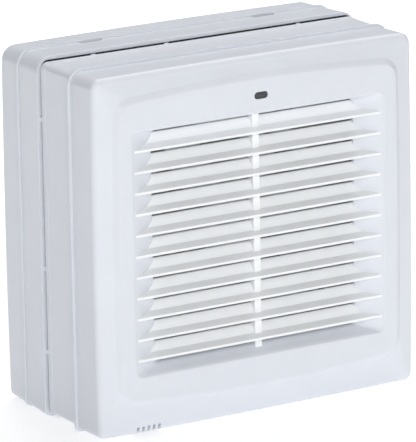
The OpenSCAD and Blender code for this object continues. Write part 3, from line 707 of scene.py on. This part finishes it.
def housing_rows():
    """The outer housing: a flange face with a round hole, slightly tapered sides, and a locating
    ring at its rear."""
    z = OUTER_Z
    rear_w, rear_h = FLANGE_W - 3.4, FLANGE_H - 2.4
    rows = [at_depth(circle_ring(TUNNEL_OUT), PANE_BACK + 2.3),
            at_depth(circle_ring(TUNNEL_OUT), PANE_BACK + 0.2),
            at_depth(circle_ring(TUNNEL_OUT + 0.2), PANE_BACK)]
    face = ((1, less(UNIT_R, 0.5), PANE_BACK), (0.3, less(UNIT_R, 0.15), PANE_BACK + 0.15),
            (0, UNIT_R, PANE_BACK + 0.5))
    rows += rings_in(FLANGE_W, FLANGE_H, face, z=z)
    for t in np.linspace(0, 1, 6):
        w, h = FLANGE_W + (rear_w - FLANGE_W) * t, FLANGE_H + (rear_h - FLANGE_H) * t
        d = PANE_BACK + 1 + (REAR_SEAM - PANE_BACK - 1.3) * t
        rows.append(at_depth(ring(w, h, less(UNIT_R, t), z=z), d))
    rows.append(at_depth(ring(rear_w - 0.6, rear_h - 0.6, less(UNIT_R, 1.3), z=z), REAR_SEAM))
    locating = less(UNIT_R, 4.4)
    ring_rows = ((2, locating, REAR_SEAM), (2, locating, REAR_SEAM + 3.6), (2.8, 7, REAR_SEAM + 4))
    rows += rings_in(FLANGE_W - 7.8, FLANGE_H - 6.8, ring_rows, z=z)
    inside = ((13.4, 5, REAR_SEAM + 4), (14, 5, REAR_SEAM + 3.6), (14, 5, REAR_SEAM - 5))
    rows += rings_in(FLANGE_W, FLANGE_H, inside, z=z)
    rows += [at_depth(ring(FLANGE_W - 8, FLANGE_H - 7, 7, z=z), REAR_SEAM - 6),
             at_depth(ring(FLANGE_W - 6.4, FLANGE_H - 6, 8, z=z), PANE_BACK + 4),
             at_depth(ring(FLANGE_W - 8, FLANGE_H - 8, 6, z=z), PANE_BACK + 2.5),
             at_depth(circle_ring(TUNNEL_OUT + 0.2), PANE_BACK + 2.5)]
    return rows


def make_housing():
    """The outer housing, the tabs that bridge the pane gap, and its bosses and posts."""
    shell = loft("housing_shell", housing_rows())
    top = COVER_H / 2
    cutters = [box_piece(f"notch{i}", (x - NOTCH_W / 2, x + NOTCH_W / 2), (REAR_SEAM - 3.4, REAR_SEAM + 5),
                         (top - 7, top + 2), 0.5, 0.3) for i, x in enumerate(NOTCH_X)]
    cut(shell, cutters)
    finish_piece(shell, "white_shell", "housing", "outer_housing")
    reach = (PANE_FRONT, PANE_BACK + 0.6)
    tabs = []
    for s in (-1, 1):
        z, x = s * (FRAME_H / 2 - 0.9), s * (FRAME_W / 2 - 0.9)
        tabs += [box_piece("tab", (a - 1.5, a + 1.5), reach, (z - 1.5, z + 1.5), 0.3, 0.1) for a in TAB_X]
        tabs += [box_piece("tab", (x - 1.5, x + 1.5), reach, (a - 1.5, a + 1.5), 0.3, 0.1) for a in TAB_Z]
    finish_piece(join("gap_tabs", tabs), "white_shell", "housing")
    base = PANE_BACK + 2
    boss = [(2.05, base), (7.5, base), (6.3, base + 1.4), (6, 83.4), (5.4, 84), (0.4, 84), (0, 83),
            (0, 82.2), (2.05, 82.2)]
    post = [(1.2, base), (5.2, base), (4.2, base + 1.2), (4, 86.1), (1.2, 86.1)]
    bosses = [turned("boss", boss, x, z, 40) for x, z in square_points(STUD_XY)]
    bosses += [turned("post", post, x, z, 32) for x, z in square_points(POST_XY)]
    finish_piece(join("housing_bosses", bosses), "white_shell", "housing")


WEATHER_W, WEATHER_H, WEATHER_N = 152.0, 146.0, 10


def rear_rows():
    """The rear cover: a lip, straight sides, a rounded back edge, a slightly dished border round
    the opening, and the inside of its wall."""
    w, h, z = FLANGE_W - 3, FLANGE_H - 2, OUTER_Z
    lip = ((1, less(UNIT_R, 0.5), REAR_SEAM), (0.2, less(UNIT_R, 0.1), REAR_SEAM + 0.15),
           (0, UNIT_R, REAR_SEAM + 0.5), (0, UNIT_R, REAR_SEAM + 2.5),
           (0.4, less(UNIT_R, 0.2), REAR_SEAM + 2.85))
    rows = rings_in(FLANGE_W - 1.4, FLANGE_H, lip, z=z)
    rows.append(at_depth(ring(w - 0.6, h, less(UNIT_R, 1), (0.1, 0.1), z=z), REAR_SEAM + 3.1))
    edge_d = DEPTH - 5
    for t in np.linspace(0.2, 0.9, 4):
        side = ring(w - 0.6 * (1 - t), h, less(UNIT_R, 1), (0.8 * t, 0.8 * t), z)
        rows.append(at_depth(side, REAR_SEAM + 3 + (edge_d - REAR_SEAM - 3) * t))
    rows += corner_rows(w, h, less(UNIT_R, 1), edge_d, 5, FACE_BOW, z, 7, "back")
    rows += rings_in(w, h, [(14, 4, DEPTH)], FACE_BOW, z)
    opening = ((-12, 6, 0), (-9, 5, 0.7), (-1.2, 2, 0.9), (-0.4, 1.7, 1.05), (0, 1.5, 1.5), (0, 1.5, 4.2),
               (-1, 2, 4.6))
    rows += rings_in(WEATHER_W, WEATHER_H, [(cut, r, DEPTH - back) for cut, r, back in opening])
    rows += [at_depth(ring(w - 14, h - 14, 4, z=z), DEPTH - 2.6),
             at_depth(ring(w - 4.8, h - 4.8, 7, (0.6, 0.6), z), DEPTH - 7),
             at_depth(ring(w - 5.4, h - 4.8, 7, z=z), REAR_SEAM + 4),
             at_depth(ring(w - 5.8, h - 5.8, 7, z=z), REAR_SEAM)]
    return rows


def weather_outline(z):
    """A weather blade in depth and height: it sheds rain outwards and down."""
    e = DEPTH
    points = [(e - 7, 4.6), (e - 0.2, -2), (e - 0.2, -3.6), (e - 1.6, -3.6), (e - 7, 1.6)]
    return [(d, b + z) for d, b in fillet(points, [0.7, 0.6, 0.5, 0.4, 0.6], 4)]


def make_rear():
    """The outer cover with its weather blades and their two ribs."""
    shell = loft("rear_shell", rear_rows())
    finish_piece(shell, "white_shell", "housing", "rear_cover")
    step = WEATHER_H / WEATHER_N
    blades = [prism("blade", weather_outline(-WEATHER_H / 2 + (i + 0.5) * step), -WEATHER_W / 2 - 1,
                    WEATHER_W / 2 + 1, "x") for i in range(WEATHER_N)]
    bank = join("weather_blades", blades)
    shade(bank.data, 30)
    finish_piece(bank, "white_shell", "housing")
    tall = (-WEATHER_H / 2 - 1, WEATHER_H / 2 + 1)
    ribs = [box_piece("rib", (x - 1.5, x + 1.5), (DEPTH - 6, DEPTH - 1), tall, 0.3, 0.4)
            for x in (-WEATHER_W / 4, WEATHER_W / 4)]
    finish_piece(join("rear_ribs", ribs), "white_shell", "housing")


# ---- wind tunnel and impeller ----

TUNNEL_R, MOTOR_R = 65.0, 31.2
BLADES, BLADE_ROOT = 6, 20
BLADE_PITCH, PITCH_FALL = 40, 12
BLADE_CHORD, CHORD_SWELL = 21, 4
BLADE_THICK, THICK_FALL = 1.5, 0.6
BAND_D = (72, 82)


def make_tunnel():
    """The wind tunnel with its flared mouth, the motor's band and four spokes."""
    low, high = span_of("wind_tunnel")
    back = PANE_FRONT - 2.5
    profile = [(TUNNEL_R, high), (TUNNEL_R, 46.5), (65.3, 44.2), (66.3, 42), (68, 40.2), (70.4, 38.9),
               (73, low), (73.5, low + 0.3), (73.5, low + 1.7), (73, 40.1), (71, 40.6), (69.2, 42),
               (68, 44), (67.5, 46.6), (67.4, 48), (67.4, back - 3.2), (67.9, back - 2.6),
               (75.6, back - 2.5), (76, back - 2.1), (76, back - 0.3), (75.7, back), (67.9, back),
               (67.4, back + 0.3), (67.4, high)]
    finish_piece(turned("tunnel_duct", profile, steps=160), "inner_plastic", "housing", "wind_tunnel")
    first, last = BAND_D
    profile = [(31.25, first + 0.3), (31.6, first), (33.8, first), (34.2, first + 0.4),
               (34.2, last - 0.4), (33.8, last), (31.6, last), (31.25, last - 0.3)]
    band = turned("motor_band", profile)
    finish_piece(band, "inner_plastic", "housing")
    spokes = []
    for a in (45, 135, 225, 315):
        near, far = MOTOR_R + 2, TUNNEL_R + 1
        outline = fillet([(near, BAND_D[0]), (far, BAND_D[0]), (far, BAND_D[1]), (near, BAND_D[1])], 0.4, 2)
        spoke = prism("spoke", [(r, d) for r, d in outline], -1.5, 1.5, "z", 0.5)
        turn_about_axis(spoke, a)
        spokes.append(spoke)
    finish_piece(join("tunnel_spokes", spokes), "inner_plastic", "housing")


def turn_about_axis(piece, degrees):
    """Turns a piece's mesh about the fan's axis."""
    a = math.radians(degrees)
    for v in piece.data.vertices:
        x, z = v.co.x, v.co.z - AXIS_Z
        v.co.x = x * math.cos(a) - z * math.sin(a)
        v.co.z = x * math.sin(a) + z * math.cos(a) + AXIS_Z


def blade_section(r, tip_r, count=9):
    """A cambered blade section at one radius: the pitch falls and the chord grows outwards."""
    t = (r - BLADE_ROOT) / (tip_r - BLADE_ROOT)
    pitch = math.radians(BLADE_PITCH - PITCH_FALL * t)
    chord = BLADE_CHORD + CHORD_SWELL * math.sin(math.pi * (0.2 + 0.6 * t))
    thick = BLADE_THICK - THICK_FALL * t
    upper, lower = [], []
    for s in np.linspace(-1, 1, count):
        camber = 1.9 * (1 - s * s) - 0.8
        half = 0.5 * thick * math.sqrt(max(1 - s ** 4, 0.02))
        upper.append((s * chord / 2, camber + half))
        lower.append((s * chord / 2, camber - half))
    middle_d = sum(span_of("impeller")) / 2 + 0.1
    rows = []
    for u, v in upper + lower[::-1]:
        along = u * math.cos(pitch) - v * math.sin(pitch)
        depth = middle_d + u * math.sin(pitch) * 0.92 + v * math.cos(pitch)
        turn = along / r
        rows.append((r * math.cos(turn), depth, r * math.sin(turn)))
    return rows


def make_impeller():
    """The impeller: a cup-shaped hub and twisted blades."""
    low = span_of("impeller_nut")[1]
    profile = [(3.05, low), (18.2, low), (20, low + 0.5), (21.4, low + 1.8), (22, low + 3.6), (22, 55.2),
               (21.7, 55.5), (20.3, 55.5), (20, 55.2), (20, 43.4), (19, 42.4), (7, 42.4), (6, 43.4),
               (6, 53), (5.5, 53.5), (3.05, 53.5)]
    hub = turned("impeller_hub", profile)
    tip = TUNNEL_R - 2.5
    radii = np.concatenate([np.linspace(21, tip - 0.6, 12), [tip - 0.15]])
    blades = []
    for i in range(BLADES):
        rows = [np.array(blade_section(r, tip)) for r in radii]
        blade = loft("blade", rows, closed=False, sharp=50)
        turn_about_axis(blade, 360 / BLADES * i)
        blades.append(blade)
    finish_piece(hub, "inner_plastic", "rotor", "impeller")
    bank = join("impeller_blades", blades)
    shade(bank.data, 50)
    finish_piece(bank, "inner_plastic", "rotor")


# ---- motor ----

COILS, COIL_D = 12, 1.6


def make_motor():
    """The pressed motor can, its lid and the windings inside."""
    low, high = span_of("motor_end_cap")[0], span_of("motor_cup")[1]
    r = MOTOR_R
    profile = [(0, high - 2), (r - 3.4, high - 2), (r - 2.3, high - 3), (r - 2, high - 4.4),
               (r - 2, low + 2.6), (r, low + 2.6), (r, high - 3.2), (r - 0.5, high - 1.4),
               (r - 1.6, high - 0.4), (r - 3, high), (14, high), (13, high - 0.5), (9.4, high - 0.5),
               (8.6, high), (0, high)]
    cup = turned("motor_can", profile, steps=128)
    finish_piece(cup, "motor_steel", "housing", "motor_cup")
    profile = [(3.6, low), (8.5, low), (9.2, low + 0.4), (12.5, low + 0.4), (13.2, low), (r - 0.8, low),
               (r - 0.2, low + 0.3), (r, low + 0.9), (r, low + 2.2), (r - 0.3, low + 2.5),
               (8.5, low + 2.5), (8.5, 63.2), (8.2, 63.5), (6, 63.5), (6, low + 1), (3.6, low + 1)]
    cap = turned("motor_lid", profile, steps=128)
    finish_piece(cap, "motor_steel", "housing", "motor_end_cap")
    make_windings()


def squared(value):
    """A cosine or sine pushed outwards, which makes a rounded square of a circle."""
    return math.copysign(abs(value) ** 0.7, value)


def make_windings():
    """Two bundles of enamelled turns: each a ring of overlapping coils."""
    first, last = span_of("stator_windings")
    coils = []
    for d in (first + COIL_D, last - COIL_D):
        rows = []
        for a in full_turn(144):
            wave = math.cos(COILS * a)
            middle, half = 22.8 + 0.3 * wave, 3.75 + 0.25 * wave
            row = []
            for b in full_turn(20):
                radius = middle + half * squared(math.cos(b))
                depth = d + 1.55 * squared(math.sin(b))
                row.append((radius * math.cos(a), depth, radius * math.sin(a)))
            rows.append(np.array(row))
        coils.append(loft("coil", rows))
    bank = join("winding_coils", coils)
    bank.data.shade_smooth()
    finish_piece(bank, "copper_winding", "housing", "stator_windings")


# ---- shutter ----

FLAPS = [f"shutter_flap_{k}" for k in range(1, 6)]
FLAP_HALF = 65.7
SHUTTER_D = 86.2


def make_flap(node, body):
    """A gravity flap: a thin blade with a rolled foot, stiffening ribs, a barrel and two pins."""
    hinge = joints[body + "_swing"]["pos_m"]
    d0, z0 = depth_of(hinge[1]), (hinge[2] - AXIS_Z) / MM
    length = z0 - (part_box(node)[0].z - AXIS_Z) / MM
    outline = fillet([(0.3, -0.6), (0.3, -length), (2.6, -length), (2.6, -length + 1.2),
                      (1.7, -length + 1.9), (1.6, -0.6)], [0.3, 0.5, 0.5, 0.4, 0.9, 0.3], 4)
    parts = [prism("leaf", [(d0 + d, z0 + z) for d, z in outline], -FLAP_HALF, FLAP_HALF, "x", 0.15)]
    for name, half, r in (("barrel", FLAP_HALF, 2), ("pin", FLAP_HALF + 3.4, 1.5)):
        profile = [(0, -half), (r - 0.3, -half), (r, -half + 0.3), (r, half - 0.3), (r - 0.3, half),
                   (0, half)]
        parts.append(turned_across(name, profile, d0, z0))
    for x in (-44, -22, 0, 22, 44):
        rib = fillet([(1.4, -2), (2.3, -3.5), (2.3, -length + 2.5), (1.4, -length + 1.5)], 0.3, 2)
        parts.append(prism("rib", [(d0 + d, z0 + z) for d, z in rib], x - 0.6, x + 0.6, "x", 0.15))
    flap = join(node + "_leaf", parts)
    shade(flap.data, 35)
    finish_piece(flap, "flap_plastic", body, node)


def make_shutter():
    """The back-draught shutter: a plate with a light for each flap, rails, cheeks and flaps."""
    low, thick, length = SHUTTER_D, 2.4, 22.2
    hinges = [(joints[f"flap_{k}_swing"]["pos_m"][2] - AXIS_Z) / MM for k in range(1, 6)]
    hinge_d = depth_of(joints["flap_1_swing"]["pos_m"][1])
    plate = prism("shutter_plate", [tuple(p) for p in ring(150, 150, 6)], low, low + thick, "d")
    deep = (low - 1, low + thick + 1)
    windows = [box_piece(f"light{k}", (-65.5, 65.5), deep, (z - length + 0.9, z - 0.8), 1.2, 0)
               for k, z in enumerate(hinges)]
    windows += [prism("screw_hole", circle_outline(1.5, x, z), low - 1, low + 4)
                for x, z in square_points(POST_XY)]
    cut(plate, windows)
    soften(plate, 0.25)
    finish_piece(plate, "flap_plastic", "housing", "shutter_frame")
    deep = (low + 1, hinge_d - 0.1)
    bars = [box_piece("bar", (-67, 67), deep, (z - length - 0.6, z - length + 0.9), 0.3, 0.2)
            for z in hinges]
    profile = [(67.5, 82.2), (67.7, 82), (69.3, 82), (69.6, 82.3), (69.6, low + 1), (67.5, low + 1)]
    sleeve = turned("sleeve", profile, steps=128)
    body = join("shutter_rails", bars + [make_cheek(s, low, hinge_d, hinges) for s in (-1, 1)] + [sleeve])
    shade(body.data, 35)
    finish_piece(body, "flap_plastic", "housing")
    for k, node in enumerate(FLAPS):
        make_flap(node, f"flap_{k + 1}")


def make_cheek(side, low, hinge_d, hinges):
    """The upright at one side that the flap pins turn in."""
    x = (66.1, 70.1) if side > 0 else (-70.1, -66.1)
    cheek = box_piece(f"cheek{side}", x, (low + 1, hinge_d + 4), (-67, 67), 0.5, 0)
    profile = [(0, -75), (1.55, -75), (1.55, 75), (0, 75)]
    cut(cheek, [turned_across(f"bore{side}", profile, hinge_d, z) for z in hinges])
    return soften(cheek, 0.3)


# ---- wiring ----

CASE_HALF = (10, 7)
BOARD_X, BOARD_Z = (66, 110), (77, 105)
LEAD_R = 1.95
LEAD_ROUTE = ((88, 62, -74), (78, 60, -52), (64, 64, -43), (46, 64, -34), (34, 69.6, -34),
              (23.7, 69.6, -23.7))


def make_wiring():
    """The capacitor, the control board and the motor's lead."""
    low, high = [depth_of(v.y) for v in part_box("run_capacitor")]
    x, z = middle_of("run_capacitor")
    half_w, half_h = CASE_HALF
    case = box_piece("capacitor_case", (x - half_w, x + half_w), (low, high), (z - half_h, z + half_h),
                     1.6, 1.0)
    finish_piece(case, "capacitor_yellow", "housing", "run_capacitor")
    make_board()
    lead = tube("motor_cable", LEAD_ROUTE, LEAD_R, 20, 90)
    finish_piece(lead, "grey_sleeve", "housing", "motor_lead")


def make_board():
    """The control board with a few small parts on its front."""
    low, high = span_of("control_board")
    sheet = box_piece("board_sheet", BOARD_X, (low, high), BOARD_Z, 1, 0.1)
    holes = [prism("mount_hole", circle_outline(1.3, x, z), 59, 63) for x in (72, 104) for z in (82, 100)]
    cut(sheet, holes)
    finish_piece(sheet, "board_green", "housing", "control_board")
    chips = [box_piece("chip", (100, 107), (low - 1.5, low + 0.2), (87, 93), 0.3, 0.2),
             box_piece("relay", (68, 76), (low - 7, low + 0.2), (86, 96), 0.5, 0.3)]
    finish_piece(join("board_parts", chips), "black_rubber", "housing")


KEPT = {
    "pilot_lamp": "lamp_green", "inner_gasket": "foam_gasket", "outer_gasket": "foam_gasket",
    "tunnel_screws": "zinc_screw", "motor_screws": "zinc_screw", "stator_core": "core_steel",
    "rotor_core": "core_steel", "motor_shaft": "ground_steel", "thrust_washers": "washer_plastic",
    "front_bearing": "sinter_bronze", "rear_bearing": "sinter_bronze", "impeller_nut": "nut_plastic",
    "shutter_screws": "zinc_screw", "clamp_studs": "zinc_screw", "clamp_nuts": "inner_plastic",
    "terminal_block": "cream_plastic", "terminal_screws": "zinc_screw",
    "cable_grommet": "black_rubber", "cable_clamp": "cream_plastic", "clamp_bar_screws": "zinc_screw",
}


def make_object():
    """Every piece, and a finish for the CAD nodes that keep their own shape."""
    make_cover()
    make_grille()
    make_window()
    make_frame()
    make_housing()
    make_rear()
    make_tunnel()
    make_impeller()
    make_motor()
    make_shutter()
    make_wiring()
    for node, slot in KEPT.items():
        keep(node, slot)


# ---- floor, light and camera ----

STAGE_GLOW, BACK_GLOW = 0.4, 0.9
GLOW_FROM, GLOW_TO = 0.3, 0.8
FLOOR_REACH, FLOOR_GAP = 9.0, 0.0005


def make_stage():
    """A wide pale floor that glows a little, and more behind the object."""
    n = Nodes("stage_white")
    n.shader.inputs["Roughness"].default_value = 0.9
    n.shader.inputs["Specular IOR Level"].default_value = 0.1
    n.shader.inputs["Emission Color"].default_value = (1, 1, 1, 1)
    split, glow = n.add("ShaderNodeSeparateXYZ"), n.add("ShaderNodeMapRange")
    n.link(n.place, split.inputs["Vector"])
    n.link(split.outputs["Y"], glow.inputs["Value"])
    spread = {"From Min": GLOW_FROM, "From Max": GLOW_TO, "To Min": STAGE_GLOW, "To Max": BACK_GLOW}
    for name, value in spread.items():
        glow.inputs[name].default_value = value
    n.link(glow.outputs["Result"], n.shader.inputs["Emission Strength"])
    slow = n.noise(60, 2.0)
    n.link(n.tint(slow, (0.9, 0.9, 0.9), 0.004), n.shader.inputs["Base Color"])
    n.bump((n.noise(3.0), 0.01))
    reach, z = FLOOR_REACH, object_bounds()[0].z - FLOOR_GAP
    mesh = bpy.data.meshes.new("stage_floor")
    mesh.from_pydata([(-reach, -reach, z), (reach, -reach, z), (reach, reach, z), (-reach, reach, z)],
                     [], [(0, 1, 2, 3)])
    mesh.materials.append(n.material)
    floor = bpy.data.objects.new("stage_floor", mesh)
    bpy.context.scene.collection.objects.link(floor)


WORLD_GREY, WORLD_STRENGTH = (0.93, 0.96, 1.0), 0.09
LIGHTS = (
    # name, place, aimed at, width, height, power
    ("top_box", (0.35, 0.4, 1.6), (0, 0, 0.12), 1.4, 1.6, 21.0),
    ("front_box", (0.0, -2.6, 0.75), (0, 0, 0.12), 2.2, 1.6, 17.0),
    ("key_left", (-1.3, -2.1, 1.4), (0, 0, 0.12), 1.2, 1.0, 22.5),
    ("side_left", (-2.4, -0.4, 1.0), (0, 0, 0.12), 1.0, 1.0, 1.5),
)


def make_lights():
    """A dim sky and the soft boxes."""
    world = bpy.data.worlds.new("sky")
    bpy.context.scene.world = world
    world.use_nodes = True
    back = world.node_tree.nodes["Background"]
    back.inputs["Color"].default_value = (*WORLD_GREY, 1)
    back.inputs["Strength"].default_value = WORLD_STRENGTH
    for name, at, aim, width, height, power in LIGHTS:
        data = bpy.data.lights.new(name, "AREA")
        data.shape = "RECTANGLE"
        data.size, data.size_y = width, height
        data.energy = power
        lamp = bpy.data.objects.new(name, data)
        lamp.location = at
        lamp.rotation_euler = (Vector(aim) - Vector(at)).to_track_quat("-Z", "Y").to_euler()
        bpy.context.scene.collection.objects.link(lamp)


CAMERA_AT = (-1.5210, -2.5023, 0.8954)
CAMERA_RIGHT = (0.85233, -0.52275, -0.01656)
CAMERA_UP = (0.14838, 0.21133, 0.96609)
CAMERA_LENS = 381.3


def make_camera():
    """The camera, from its place and its right and up directions."""
    data = bpy.data.cameras.new("camera")
    data.sensor_fit = "AUTO"
    data.sensor_width = 36
    data.lens = CAMERA_LENS
    data.clip_start, data.clip_end = 0.05, 50
    right, up = Vector(CAMERA_RIGHT).normalized(), Vector(CAMERA_UP).normalized()
    back = right.cross(up)
    camera = bpy.data.objects.new("camera", data)
    camera.matrix_world = Matrix.Translation(CAMERA_AT) @ Matrix((right, up, back)).transposed().to_4x4()
    bpy.context.scene.collection.objects.link(camera)
    bpy.context.scene.camera = camera


make_object()
make_stage()
make_lights()
make_camera()
bpy.context.scene.view_settings.view_transform = "Standard"
bpy.context.scene.view_settings.look = "None"
